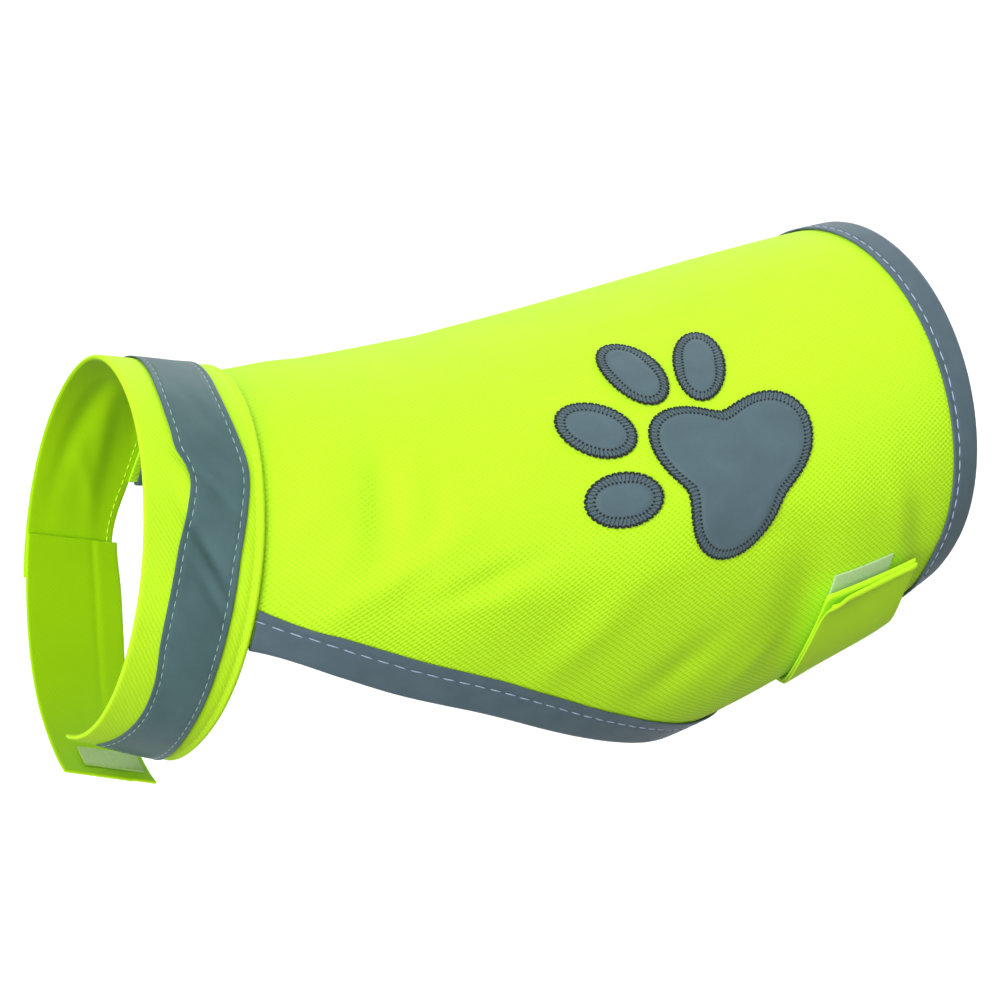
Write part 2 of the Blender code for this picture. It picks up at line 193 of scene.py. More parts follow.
PAD_CENTRE = (0.63, 61.0)
PAD_OUTLINE = ((30.0, 28.0), (96.0, 18.8), (143.0, 34.0), (190.0, 20.5),
               (250.0, 29.5), (318.0, 17.0))
TOES = {
    "paw_toe_front_top": dict(at=(0.531, 23.8), long=15.2, wide=8.8, slant=101.0),
    "paw_toe_rear_top": dict(at=(0.621, 27.7), long=14.5, wide=8.2, slant=69.0),
    "paw_toe_middle": dict(at=(0.446, 38.9), long=13.2, wide=9.3, slant=-38.0),
    "paw_toe_low": dict(at=(0.458, 61.4), long=12.7, wide=8.1, slant=-7.0),
}


# ================================================================ small tools
def smooth(t):
    t = np.clip(t, 0.0, 1.0)
    return t * t * (3.0 - 2.0 * t)


def between(a, b, t):
    return a + (b - a) * t


def bell(distance, width):
    return np.exp(-(distance / width) ** 2)


def through(values):
    """Polynomial through equally spaced values on 0..1."""
    k = np.polyfit(np.linspace(0.0, 1.0, len(values)), values, len(values) - 1)
    return lambda u: np.polyval(k, u)


def eased(rows, at):
    """Table value at a position, easing from each row to the next."""
    a = np.array([r[0] for r in rows])
    b = np.array([r[1] for r in rows])
    if a[0] > a[-1]:
        a, b = a[::-1], b[::-1]
    at = np.clip(at, a[0], a[-1])
    i = np.clip(np.searchsorted(a, at) - 1, 0, len(a) - 2)
    slope = np.gradient(b, a)
    h = a[i + 1] - a[i]
    t = (at - a[i]) / h
    return ((2 * t**3 - 3 * t**2 + 1) * b[i] + (t**3 - 2 * t**2 + t) * h * slope[i]
            + (3 * t**2 - 2 * t**3) * b[i + 1] + (t**3 - t**2) * h * slope[i + 1])


def oval(x, z, lean, wide, high, angle):
    a, tilt = np.radians(angle), np.radians(lean)
    up = high * np.cos(a)
    return np.stack([x + up * np.sin(tilt), -wide * np.sin(a), z + up * np.cos(tilt)], -1)


def folds(table, u, angle, length, radius):
    total = 0.0
    for u0, a0, half_long, half_wide, slant, high in table:
        p = (u - u0) * length
        q = np.radians(angle - a0) * radius
        c, s = np.cos(np.radians(slant)), np.sin(np.radians(slant))
        total = total + high * bell(p * c + q * s, half_long) * bell(q * c - p * s, half_wide)
    return total


def with_height(surface, u, angle, high):
    """Point of a surface moved out along its normal."""
    e = 1e-3
    u, angle, high = np.broadcast_arrays(u, angle, high)
    across = surface(u, angle + 0.5) - surface(u, angle - 0.5)
    along = surface(u + e, angle) - surface(u - e, angle)
    n = np.cross(across, along)
    n /= np.linalg.norm(n, axis=-1, keepdims=True)
    return surface(u, angle) + n * high[..., None]


# ================================================================ the surfaces
half_width, spine_rise, belly_drop = map(through, (HALF_WIDTH, SPINE_RISE, BELLY_DROP))


def body_form(u, angle):
    a, b = RING["collar rear"], RING["hem"]
    high = np.where(np.cos(np.radians(angle)) >= 0.0, spine_rise(u), belly_drop(u))
    return oval(a["x"] + (b["x"] - a["x"]) * u, a["z"] + (b["z"] - a["z"]) * u,
                a["lean"] + (b["lean"] - a["lean"]) * u, half_width(u), high, angle)


def collar_form(v, angle):
    a, b = RING["collar front"], RING["collar rear"]
    mix = {k: a[k] + (b[k] - a[k]) * v for k in a}
    at = oval(mix["x"], mix["z"], mix["lean"], mix["wide"], mix["high"], angle)
    for a0, spread, forward, down in COLLAR_SHIFT:
        part = v * np.exp(-((angle - a0) / spread) ** 2)
        at = at - np.stack([forward * part, 0.0 * part, down * part], -1)
    return at


def collar(v, angle, high=0.0):
    """The collar's outer face, v from 0 at its front edge to 1 at its rear edge; the
    dents fade toward the rear edge and the creases toward both."""
    soft = folds(COLLAR_FOLDS, v, angle, COLLAR_DEEP, COLLAR_RADIUS) * smooth((1.0 - v) / 0.5)
    fine = (folds(COLLAR_CREASES, v, angle, COLLAR_DEEP, COLLAR_RADIUS)
            * smooth(v / 0.25) * smooth((1.0 - v) / 0.2))
    return with_height(collar_form, v, angle, high + soft + fine)


def panel(u, angle, high=0.0):
    """The main panel's outer face; below 0 it runs on under the collar."""
    u, angle, high = np.broadcast_arrays(np.asarray(u, float), angle, high)
    under = -(COLLAR_THICK + SEAM_GAP)
    sink = under * (1.0 - smooth(u / SINK_ENDS))
    soft = folds(FOLDS + CREASES, u, angle, PANEL_LONG, PANEL_RADIUS) * smooth(u / FOLDS_FULL)
    free = with_height(body_form, np.maximum(u, 0.0), angle, high + sink + soft)
    tucked = with_height(collar_form, 1.0 + np.minimum(u, 0.0) * LAP_RATE, angle, high + under)
    return np.where((u < 0.0)[..., None], tucked, free)


def leg_edge(k):
    """(along, angle) of the wing's front edge, k from 0 at the collar to 1."""
    rows = np.linspace(0.0, 1.0, len(LEG_EDGE))
    return (eased([(r, e[0]) for r, e in zip(rows, LEG_EDGE)], k),
            eased([(r, e[1]) for r, e in zip(rows, LEG_EDGE)], k))


# ================================================================ mesh tools
def link(ob):
    bpy.context.scene.collection.objects.link(ob)
    return ob


def edge_steps(cells, length, radius):
    """Lines 0..1 across a length, closer together where the two edges are rounded."""
    rim = np.array([0.0, 0.06, 0.25, 0.55, 1.0]) * radius / length
    return np.concatenate([rim[:-1], np.linspace(rim[-1], 1.0 - rim[-1], cells + 1),
                           1.0 - rim[-2::-1]])


def run_of(points, axis):
    step = np.linalg.norm(np.diff(points, axis=axis), axis=-1)
    zero = np.zeros_like(np.take(step, [0], axis=axis))
    return np.concatenate([zero, np.cumsum(step, axis=axis)], axis=axis)


def cloth(name, surface, sizes, cells, thick, middle, finish, relief=None, lining=None):
    """A closed sheet with rounded edges: surface(s, t, high) gives points in mm.

    sizes are its rough length and width in mm, middle the height of its mid-face,
    relief(s, t) is added to the height of the outer face alone. lining is the finish of the
    inner face, where it differs; on the collar it is a darker copy of the collar cloth,
    painted shade. The UV map "cloth_mm" holds millimetres along and across the cloth.
    """
    radius = 0.5 * thick
    s_lines = edge_steps(cells[0], sizes[0], radius)
    t_lines = edge_steps(cells[1], sizes[1], radius)
    s, t = np.meshgrid(s_lines, t_lines, indexing="ij")
    reach = np.minimum.reduce([s * sizes[0], (1.0 - s) * sizes[0],
                               t * sizes[1], (1.0 - t) * sizes[1]])
    inside = np.clip(reach / radius, 0.0, 1.0)
    half = radius * np.sqrt(1.0 - (1.0 - inside) ** 2)
    raised = 0.0 if relief is None else relief(s, t) * inside
    outer = surface(s, t, middle + half + raised)
    inner = surface(s, t, middle - half)

    middle_row = len(s_lines) // 2
    round_mm = run_of(outer, 0)
    round_mm -= round_mm[middle_row][None]
    along_mm = np.broadcast_to(run_of(outer, 1)[middle_row][None], s.shape)
    uv = np.stack([along_mm, round_mm], -1)

    ns, nt = s.shape
    front = np.arange(ns * nt).reshape(ns, nt)
    back = front.copy()
    back[1:-1, 1:-1] = ns * nt + np.arange((ns - 2) * (nt - 2)).reshape(ns - 2, nt - 2)
    points = np.concatenate([outer.reshape(-1, 3), inner[1:-1, 1:-1].reshape(-1, 3)])
    uvs = np.concatenate([uv.reshape(-1, 2), uv[1:-1, 1:-1].reshape(-1, 2)])

    def quads(ids):
        return np.stack([ids[:-1, :-1], ids[1:, :-1], ids[1:, 1:], ids[:-1, 1:]],
                        -1).reshape(-1, 4)

    faces = np.concatenate([quads(front), quads(back)[:, ::-1]])
    sheet = solid(name, points, faces, uvs, finish)
    if lining:
        sheet.data.materials.append(lining)
        layer = np.repeat([0, 1], len(faces) // 2).astype(np.int32)
        sheet.data.polygons.foreach_set("material_index", layer)
    return sheet


def solid(name, points, faces, uvs, finish):
    """Mesh object from points in mm, its faces turned to point outwards."""
    points = (points - np.array([0.0, 0.0, BACK_HEIGHT])) * MM
    corner = points[faces[:, 0]]
    volume = sum(np.einsum("ij,ij->i", corner,
                           np.cross(points[faces[:, k]], points[faces[:, k + 1]])).sum()
                 for k in (1, 2))
    if volume < 0.0:
        faces = faces[:, ::-1]
    mesh = bpy.data.meshes.new(name)
    mesh.from_pydata(points.tolist(), [], faces.tolist())
    layer = mesh.uv_layers.new(name="cloth_mm")
    loops = np.empty(len(mesh.loops), dtype=np.int32)
    mesh.loops.foreach_get("vertex_index", loops)
    layer.data.foreach_set("uv", uvs[loops].astype(np.float32).ravel())
    mesh.polygons.foreach_set("use_smooth", np.ones(len(mesh.polygons), dtype=bool))
    mesh.materials.append(finish)
    mesh.update()
    return link(bpy.data.objects.new(name, mesh))


# ================================================================ materials
def channel(code):
    c = int(code, 16) / 255.0
    return c / 12.92 if c <= 0.04045 else ((c + 0.055) / 1.055) ** 2.4


def colour(code):
    """sRGB hex to linear."""
    return tuple(channel(code[i:i + 2]) for i in (0, 2, 4)) + (1.0,)


def add(tree, kind, settings=(), links=()):
    """One node: settings are its properties, or input values under their names or
    numbers; links join inputs to other nodes' outputs."""
    node = tree.nodes.new(kind)
    for key, value in dict(settings).items():
        if isinstance(key, str) and hasattr(node, key):
            setattr(node, key, value)
        else:
            node.inputs[key].default_value = value
    for key, source in dict(links).items():
        tree.links.new(source, node.inputs[key])
    return node


def finish_of(name, settings):
    """A new material and its Principled shader, with constants set on its sockets."""
    material = bpy.data.materials.new(name)
    material.use_nodes = True
    shader = material.node_tree.nodes["Principled BSDF"]
    for key, value in settings.items():
        shader.inputs[key].default_value = value
    return material, material.node_tree, shader


# The weave shows less on the brightly lit back than on the flanks. That is painted shade: the
# gaps darken between these distances from the spine, mm, though the real cloth is even.
SHADE_DEEPENS_FROM, SHADE_DEEPEST_BY = 44.0, 108.0


def woven_polyester(name, thread_along, thread_round, turn, relief_mm, gap, top,
                    ribbed=0.0, flank_gap_shade=None):
    """Fluorescent yellow polyester, plain woven from flat bulked yarn: a matt cloth
    with a grid of small soft floats, a pale nap at glancing angles and deeper
    yellow-green in the gaps. Thread spacing in mm, turn in degrees; ribbed is how far
    the floats run together into fine slanting ribs, as on the folded collar. flank_gap_shade
    is the darker colour painted into the gaps low on the flanks, as painted shade."""
    material, tree, shader = finish_of(name, {
        "Roughness": 0.72, "IOR": 1.5, "Specular IOR Level": 0.12,
        "Sheen Weight": 0.10, "Sheen Roughness": 0.45,
        "Sheen Tint": colour("F4FFB0"),
    })
    place = add(tree, "ShaderNodeUVMap", {"uv_map": "cloth_mm"})
    turned = add(tree, "ShaderNodeMapping", {"Rotation": (0.0, 0.0, np.radians(turn))},
                 {"Vector": place.outputs["UV"]})
    drift = add(tree, "ShaderNodeTexNoise", {"Scale": 0.35, "Detail": 2.0},
                {"Vector": turned.outputs["Vector"]})
    drift_mm = add(tree, "ShaderNodeVectorMath", {"operation": "SCALE", "Scale": 0.9},
                   {0: drift.outputs["Color"]})
    uneven = add(tree, "ShaderNodeVectorMath", {"operation": "ADD"},
                 {0: turned.outputs["Vector"], 1: drift_mm.outputs["Vector"]})
    split = add(tree, "ShaderNodeSeparateXYZ", (), {"Vector": uneven.outputs["Vector"]})
    phases = [add(tree, "ShaderNodeMath", {"operation": "MULTIPLY", 1: np.pi / spacing},
                  {0: split.outputs[axis]}).outputs["Value"]
              for axis, spacing in (("X", thread_along), ("Y", thread_round))]
    waves = [add(tree, "ShaderNodeMath", {"operation": "SINE"}, {0: phase}).outputs["Value"]
             for phase in phases]
    plain = add(tree, "ShaderNodeMath", {"operation": "MULTIPLY"}, {0: waves[0], 1: waves[1]})
    slant = add(tree, "ShaderNodeMath", {"operation": "SUBTRACT"}, {0: phases[0], 1: phases[1]})
    rib = add(tree, "ShaderNodeMath", {"operation": "COSINE"}, {0: slant.outputs["Value"]})
    weave = add(tree, "ShaderNodeMix", {"data_type": "FLOAT", "Factor": ribbed},
                {"A": plain.outputs["Value"], "B": rib.outputs["Value"]})
    weave_level = weave.outputs["Result"]
    float_top = add(tree, "ShaderNodeMapRange", {
        "interpolation_type": "SMOOTHSTEP", "From Min": -0.75, "From Max": 0.25,
        "To Min": 0.0, "To Max": 1.0}, {"Value": weave_level})
    sides = add(tree, "ShaderNodeSeparateXYZ", (), {"Vector": place.outputs["UV"]})
    round_mm = add(tree, "ShaderNodeMath", {"operation": "ABSOLUTE"}, {0: sides.outputs["Y"]})
    flank_shade = add(tree, "ShaderNodeMapRange", {
        "interpolation_type": "SMOOTHSTEP", "From Min": SHADE_DEEPENS_FROM, "From Max": SHADE_DEEPEST_BY,
        "To Min": 0.0, "To Max": 1.0}, {"Value": round_mm.outputs["Value"]})
    gaps = add(tree, "ShaderNodeMix", {
        "data_type": "RGBA", "A": colour(gap), "B": colour(flank_gap_shade or gap)},
        {"Factor": flank_shade.outputs["Result"]})
    yarn = add(tree, "ShaderNodeMix", {
        "data_type": "RGBA", "B": colour(top)},
        {"Factor": float_top.outputs["Result"], "A": mix_colour(gaps)})
    cloud = add(tree, "ShaderNodeTexNoise", {"Scale": 0.03, "Detail": 3.0},
                {"Vector": turned.outputs["Vector"]})
    shade = add(tree, "ShaderNodeMapRange", {
        "From Min": 0.3, "From Max": 0.7, "To Min": 0.97, "To Max": 1.02},
        {"Value": cloud.outputs["Fac"]})
    dyed = add(tree, "ShaderNodeVectorMath", {"operation": "SCALE"},
               {0: mix_colour(yarn), "Scale": shade.outputs["Result"]})
    tree.links.new(dyed.outputs["Vector"], shader.inputs["Base Color"])
    relief = add(tree, "ShaderNodeBump", {"Strength": 0.5, "Distance": relief_mm * MM},
                 {"Height": weave_level})
    tree.links.new(relief.outputs["Normal"], shader.inputs["Normal"])
    return material


def mix_colour(node):
    """The colour output of a Mix node, which also has a float and a vector one."""
    return next(o for o in node.outputs if o.type == "RGBA")


def glass_bead_cloth(name, code, rough=0.5):
    """Grey retroreflective cloth: tiny glass beads bonded to a woven backing. Even
    and nearly matt away from the light, with a faint mottle and the finest grain."""
    material, tree, shader = finish_of(name, {
        "Roughness": rough, "IOR": 1.5, "Specular IOR Level": 0.12,
        "Sheen Weight": 0.03, "Sheen Roughness": 0.4,
    })
    place = add(tree, "ShaderNodeUVMap", {"uv_map": "cloth_mm"})
    mottle = add(tree, "ShaderNodeTexNoise", {"Scale": 0.09, "Detail": 4.0},
                 {"Vector": place.outputs["UV"]})
    grain = add(tree, "ShaderNodeTexNoise", {"Scale": 1.9, "Detail": 2.0},
                {"Vector": place.outputs["UV"]})
    both = add(tree, "ShaderNodeMath", {"operation": "MULTIPLY_ADD", 1: 0.35},
               {0: grain.outputs["Fac"], 2: mottle.outputs["Fac"]})
    level = add(tree, "ShaderNodeMapRange", {
        "From Min": 0.45, "From Max": 0.9, "To Min": 0.9, "To Max": 1.09},
        {"Value": both.outputs["Value"]})
    tone = add(tree, "ShaderNodeVectorMath", {"operation": "SCALE", 0: colour(code)[:3]},
               {"Scale": level.outputs["Result"]})
    tree.links.new(tone.outputs["Vector"], shader.inputs["Base Color"])
    relief = add(tree, "ShaderNodeBump", {"Strength": 0.12, "Distance": 0.05 * MM},
                 {"Height": grain.outputs["Fac"]})
    tree.links.new(relief.outputs["Normal"], shader.inputs["Normal"])
    return material


def nylon_tape(name, code):
    """Pale nylon hook-and-loop tape: cloudy and fuzzy, and tinted green by the
    yellow cloth that shows through its thin pile."""
    material, tree, shader = finish_of(name, {
        "Roughness": 0.6, "IOR": 1.53, "Specular IOR Level": 0.35,
        "Sheen Weight": 0.35, "Sheen Roughness": 0.5,
    })
    place = add(tree, "ShaderNodeUVMap", {"uv_map": "cloth_mm"})
    fuzz = add(tree, "ShaderNodeTexNoise", {"Scale": 0.9, "Detail": 5.0, "Roughness": 0.65},
               {"Vector": place.outputs["UV"]})
    tone = add(tree, "ShaderNodeMix", {
        "data_type": "RGBA", "A": colour(code[0]), "B": colour(code[1])},
        {"Factor": fuzz.outputs["Fac"]})
    tree.links.new(mix_colour(tone), shader.inputs["Base Color"])
    relief = add(tree, "ShaderNodeBump", {"Strength": 0.5, "Distance": 0.25 * MM},
                 {"Height": fuzz.outputs["Fac"]})
    tree.links.new(relief.outputs["Normal"], shader.inputs["Normal"])
    return material


def sewing_thread(name, code):
    """Spun polyester sewing thread: matt, slightly hairy, with uneven dye."""
    material, tree, shader = finish_of(name, {
        "Roughness": 0.6, "IOR": 1.5, "Specular IOR Level": 0.3,
        "Sheen Weight": 0.2, "Sheen Roughness": 0.5,
    })
    place = add(tree, "ShaderNodeTexCoord")
    twist = add(tree, "ShaderNodeTexNoise", {"Scale": 2200.0, "Detail": 2.0},
                {"Vector": place.outputs["Object"]})
    level = add(tree, "ShaderNodeMapRange", {
        "From Min": 0.3, "From Max": 0.7, "To Min": 0.85, "To Max": 1.12},
        {"Value": twist.outputs["Fac"]})
    tone = add(tree, "ShaderNodeVectorMath", {"operation": "SCALE", 0: colour(code)[:3]},
               {"Scale": level.outputs["Result"]})
    tree.links.new(tone.outputs["Vector"], shader.inputs["Base Color"])
    return material


# The body cloth's thread spacing is coarser along the body than round it, and its gaps
# are painted darker low on the flanks as painted shade. The collar's inner faces are
# painted darker than its outer ones, as painted shade inside; the real cloth has one colour.
BODY_CLOTH = woven_polyester("fluorescent_polyester_body", 1.10, 0.86, turn=-7.0,
                             relief_mm=0.16, gap="BBF11F", top="C3F72A",
                             flank_gap_shade="A9E314")
COLLAR_CLOTH = woven_polyester("fluorescent_polyester_collar", 0.72, 1.15, turn=4.0,
                               relief_mm=0.045, gap="BCF21E", top="C6F82C", ribbed=0.5)
COLLAR_INSIDE_SHADE_CLOTH = woven_polyester("fluorescent_polyester_collar_inside_shade", 0.62, 1.0, turn=4.0,
                               relief_mm=0.02, gap="A2D602", top="A6D906", ribbed=0.3)
STRAP_CLOTH = woven_polyester("fluorescent_polyester_strap", 0.86, 0.9, turn=45.0,
                              relief_mm=0.04, gap="B8EE1E", top="C2F628")
TAPE_GREY = glass_bead_cloth("retroreflective_tape", "4F6A6B")
BINDING_GREY = glass_bead_cloth("retroreflective_binding", "55676F", 0.6)
MOTIF_GREY = glass_bead_cloth("retroreflective_motif", "566A71", 0.55)
HOOK_TAPE = nylon_tape("nylon_hook_tape", ("86AA40", "B4D080"))
LOOP_TAPE = nylon_tape("nylon_loop_tape", ("98BC68", "CCE4B4"))
YELLOW_THREAD = sewing_thread("yellow_thread", "D6FA30")
PALE_THREAD = sewing_thread("pale_green_thread", "A2BDB2")
LILAC_THREAD = sewing_thread("lilac_grey_thread", "A9B6CF")
DARK_THREAD = sewing_thread("dark_grey_thread", "2A3A3A")
# Near black: partly the zigzag thread's own dark colour, partly painted shade where it wraps over
# the motif's edge.
RIM_THREAD_WITH_SHADE = sewing_thread("dark_thread_with_painted_shade", "08120A")


# ================================================================ main panel
def panel_rows(t):
    """(along, widest angle) at t: under the collar, along the leg edge, then the tail."""
    lap, leg = 0.02, 0.75
    k = np.clip((t - lap) / (leg - lap), 0.0, 1.0) ** 1.1
    u, angle = leg_edge(k)
    u = np.where(t < lap, -COLLAR_LAP / PANEL_LONG * (1.0 - t / lap), u)
    tail = np.clip((t - leg) / (1.0 - leg), 0.0, 1.0)
    return between(u, 1.0, tail), angle


def panel_sheet(s, t, high):
    u, widest = panel_rows(t)
    return panel(u, widest * (2.0 * s - 1.0), high)


main_panel = cloth("vest_panel", panel_sheet, (480.0, 260.0), (232, 124), PANEL_CLOTH,
                   -0.5 * PANEL_CLOTH, BODY_CLOTH)


# ================================================================ collar
COLLAR_WIDE = 35.0
BAND_ARC = 310.0
TOPSTITCH_IN = 2.6          # collar topstitch, mm in from the rear edge
PUCKER = dict(deep=0.30, wide=0.7)              # the groove along the topstitch
EDGE_ROLL = dict(high=0.12, at=1.1, wide=0.8)   # the fuller edge beyond it


def band_sheet(s, t, high):
    return collar(t, between(BAND_FAR_END, between(*BAND_NEAR_END, t), s), high)


def band_relief(s, t):
    from_rear = (1.0 - t) * COLLAR_WIDE
    return (-PUCKER["deep"] * bell(from_rear - TOPSTITCH_IN, PUCKER["wide"])
            + EDGE_ROLL["high"] * bell(from_rear - EDGE_ROLL["at"], EDGE_ROLL["wide"]))


# The band's inner face takes the darker inside cloth: painted shade.
collar_band = cloth("collar_cloth", band_sheet, (BAND_ARC, COLLAR_WIDE), (250, 44),
                    COLLAR_THICK, -0.5 * COLLAR_THICK, COLLAR_CLOTH, band_relief,
                    COLLAR_INSIDE_SHADE_CLOTH)


def tape_edges(angle):
    return (eased([(a, f) for a, f, r in TAPE_EDGES], angle),
            eased([(a, r) for a, f, r in TAPE_EDGES], angle))


def tape_point(angle, across, high):
    """across runs 0 to 1 from the tape's front edge to its rear edge."""
    front, rear = tape_edges(angle)
    return collar(between(front, rear, across), angle, high)


TAPE_ARC, TAPE_WIDE = 295.0, 19.5
TAPE_SEAM_IN, TAPE_GROOVE_DEEP, TAPE_GROOVE_WIDE = 1.9, 0.15, 0.5


def tape_sheet(s, t, high):
    return tape_point(between(TAPE_FAR_END, between(*TAPE_NEAR_END, t), s), t, high)


def tape_relief(s, t):
    from_edge = np.minimum(t, 1.0 - t) * TAPE_WIDE
    from_end = (1.0 - s) * TAPE_ARC
    return -TAPE_GROOVE_DEEP * (bell(from_edge - TAPE_SEAM_IN, TAPE_GROOVE_WIDE)
                                + bell(from_end - TAPE_SEAM_IN, TAPE_GROOVE_WIDE))


collar_tape = cloth("collar_reflective_tape", tape_sheet, (TAPE_ARC, TAPE_WIDE), (300, 36),
                    TAPE_CLOTH, SEAM_GAP + 0.5 * TAPE_CLOTH, TAPE_GREY, tape_relief)


def tab_edges(angle):
    """Edges of the tab across the collar: it narrows a little on its way round."""
    run = smooth((-140.0 - angle) / 55.0)
    return between(0.0, 0.03, run), between(1.03, 0.94, run)


def tab_point(angle, t, more=0.0):
    front, rear = tab_edges(angle)
    return with_height(collar_form, between(front, rear, t), angle,
                       eased(TAB_PATH, angle) + more)


TAB_ARC = 95.0
HEM_LINE_IN = 10.0          # the tab's side hem is stitched down this far in, mm
HEM_RIDGE, HEM_STEP = 0.14, 0.18


def tab_sheet(s, t, high):
    """The cloth bows out along its hem line, and beyond it lies a step further in."""
    past_line = HEM_LINE_IN - (1.0 - t) * COLLAR_WIDE
    step = -HEM_RIDGE * bell(past_line, 1.0) + HEM_STEP * smooth(past_line / 2.0)
    return tab_point(between(TAB_END, TAB_TOP, s), t, high - step)


# The tab's inner face takes the darker inside cloth: painted shade.
collar_tab = cloth("collar_tab_cloth", tab_sheet, (TAB_ARC, COLLAR_WIDE), (90, 40),
                   TAB_CLOTH, 0.5 * TAB_CLOTH, COLLAR_CLOTH, lining=COLLAR_INSIDE_SHADE_CLOTH)


def hook_sheet(s, t, high):
    return tab_point(between(HOOK_END, HOOK_START, s), between(0.26, 0.92, t), high)


collar_hook = cloth("collar_hook_tape", hook_sheet, (24.0, 20.0), (36, 30), FASTENER_CLOTH,
                    -SEAM_GAP - 0.5 * FASTENER_CLOTH, HOOK_TAPE)


# ================================================================ bindings
LEG_SEAM_IN, HEM_SEAM_IN = 3.6, 2.4
BINDING_GROOVE_DEEP, BINDING_GROOVE_WIDE = 0.25, 0.7
ROUND_THE_FOLD = 5.0        # rough length that a binding needs to turn over its edge
LEG_BINDING_START = 0.002   # k of the leg edge where its binding comes out of the collar
NEAREST_COLLAR = 0.0016     # "along" that no binding passes toward the collar
HEM_REACH = 0.985           # share of the hem's half turn that its binding covers
NARROWED = dict(by=0.11, at=0.08, spread=0.09)  # turned in more next to the collar


def edge_frame(u, angle, du, da):
    """Unit direction in the cloth that points off the edge, and its steps in
    along and angle for one millimetre."""
    e = 1e-3
    s_u = (panel(u + e, angle) - panel(np.maximum(u - e, 1e-4), angle))
    s_u /= (u + e - np.maximum(u - e, 1e-4))[..., None]
    s_a = panel(u, angle + 0.5) - panel(u, angle - 0.5)
    run = s_u * du[..., None] + s_a * da[..., None]
    run /= np.linalg.norm(run, axis=-1, keepdims=True)
    n = np.cross(s_a, s_u)
    n /= np.linalg.norm(n, axis=-1, keepdims=True)
    off = np.cross(run, n)
    g11, g12, g22 = (s_u * s_u).sum(-1), (s_u * s_a).sum(-1), (s_a * s_a).sum(-1)
    b1, b2 = (off * s_u).sum(-1), (off * s_a).sum(-1)
    det = g11 * g22 - g12 * g12
    return off, (g22 * b1 - g12 * b2) / det, (g11 * b2 - g12 * b1) / det


def fold_section(t, wide, high):
    """A binding folded over an edge: (distance inside the edge, height over the
    panel) at t from the outer leg's edge round to the inner leg's edge, moved
    out of the fold by high."""
    leg_top = SEAM_GAP + 0.5 * BINDING_CLOTH
    leg_low = -PANEL_CLOTH - leg_top
    turn = 0.5 * (leg_top - leg_low)
    around = np.pi * turn
    total = 2.0 * wide + around
    run = t * total
    bend = np.clip((run - wide) / around, 0.0, 1.0) * np.pi
    inside = np.where(run < wide, wide - run,
                      np.where(run > wide + around, run - wide - around, -np.sin(bend) * turn))
    level = np.where(run < wide, leg_top,
                     np.where(run > wide + around, leg_low, leg_top - turn + np.cos(bend) * turn))
    return inside - np.sin(bend) * high, level + np.cos(bend) * high


def folded(u, angle, du, da, inside, level):
    """Point of a binding: inside is mm in from the panel's edge, or out if negative."""
    off, step_u, step_a = edge_frame(u, angle, du, da)
    narrowed = 1.0 - NARROWED["by"] * bell(u - NARROWED["at"], NARROWED["spread"])
    held = np.maximum(inside, 0.0) * narrowed
    held_u = np.maximum(u - step_u * held, NEAREST_COLLAR)
    on_cloth = panel(held_u, angle - step_a * held, level)
    return on_cloth + off * np.maximum(-inside, 0.0)[..., None]


def leg_place(s, sign):
    k = between(LEG_BINDING_START, 1.0, s)
    u, angle = leg_edge(k)
    u2, angle2 = leg_edge(np.clip(k + 1e-3, 0.0, 1.0))
    u1, angle1 = leg_edge(np.clip(k - 1e-3, 0.0, 1.0))
    return u, sign * angle, sign * (u2 - u1), angle2 - angle1


def hem_place(s):
    angle = HEM_REACH * WING_END * (2.0 * s - 1.0)
    return np.full_like(angle, 1.0), angle, 0.0 * angle, -1.0 + 0.0 * angle


def binding(name, place, wide, arc, cells, seam_in):
    total = 2.0 * wide + ROUND_THE_FOLD

    def sheet(s, t, high):
        inside, level = fold_section(t, wide, high)
        return folded(*place(s), inside, level)

    def relief(s, t):
        from_leg = np.minimum(t, 1.0 - t) * total
        return -BINDING_GROOVE_DEEP * bell(from_leg - seam_in, BINDING_GROOVE_WIDE)

    return cloth(name, sheet, (arc, total), cells, BINDING_CLOTH, 0.0, BINDING_GREY, relief)


near_binding = binding("near_leg_edge_binding", lambda s: leg_place(s, 1.0),
                       LEG_BINDING_WIDE, 235.0, (190, 46), LEG_SEAM_IN)
far_binding = binding("far_leg_edge_binding", lambda s: leg_place(s, -1.0),
                      LEG_BINDING_WIDE, 235.0, (190, 46), LEG_SEAM_IN)
hem_binding = binding("hem_edge_binding", hem_place, HEM_BINDING_WIDE, 405.0, (300, 42),
                      HEM_SEAM_IN)


# ================================================================ belly strap
STRAP_ARC, STRAP_WIDE = 170.0, 36.0
ROLLED_END = dict(high=0.7, at=1.4, wide=1.5)   # the turned end, mm from the tip
MOUTH_LONG, MOUTH_SHUTS = 7.0, 0.85     # the layers part at the tip, less at the rear
CURL = dict(long=3.5, at=2.0, wide=4.0)         # and the front corner curls
OUTER_SHORT = 0.7           # degrees that the outer layer's tip stops short
CORNER_OPEN = 1.5


def strap_point(angle, across, high):
    lift = STRAP_REAR_LIFT
    stand_off = lift["high"] * smooth(across) * bell(angle - lift["at"], lift["spread"])
    sag = STRAP_SAG["back"] * bell(angle - STRAP_SAG["at"], STRAP_SAG["spread"])
    return panel(between(STRAP_FRONT, STRAP_REAR, across) + sag, angle,
                 eased(STRAP_PATH, angle) + stand_off + high)


def strap_layer(lift, tip, opened):
    """One layer of the strap: opened is how far its front corner stands off the other."""
    def sheet(s, t, high):
        angle = between(tip, STRAP_ROOT, s)
        from_tip = s * STRAP_ARC
        apart = opened * bell(from_tip, MOUTH_LONG) * (1.0 - MOUTH_SHUTS * smooth(1.2 * t))
        curl = (opened * bell(from_tip, CURL["long"])
                * bell(t * STRAP_WIDE - CURL["at"], CURL["wide"]))
        return strap_point(angle, t, lift + high + apart + curl)
    return sheet


def rolled_end(s, t):
    roll = ROLLED_END
    return roll["high"] * bell(s * STRAP_ARC - roll["at"], roll["wide"])


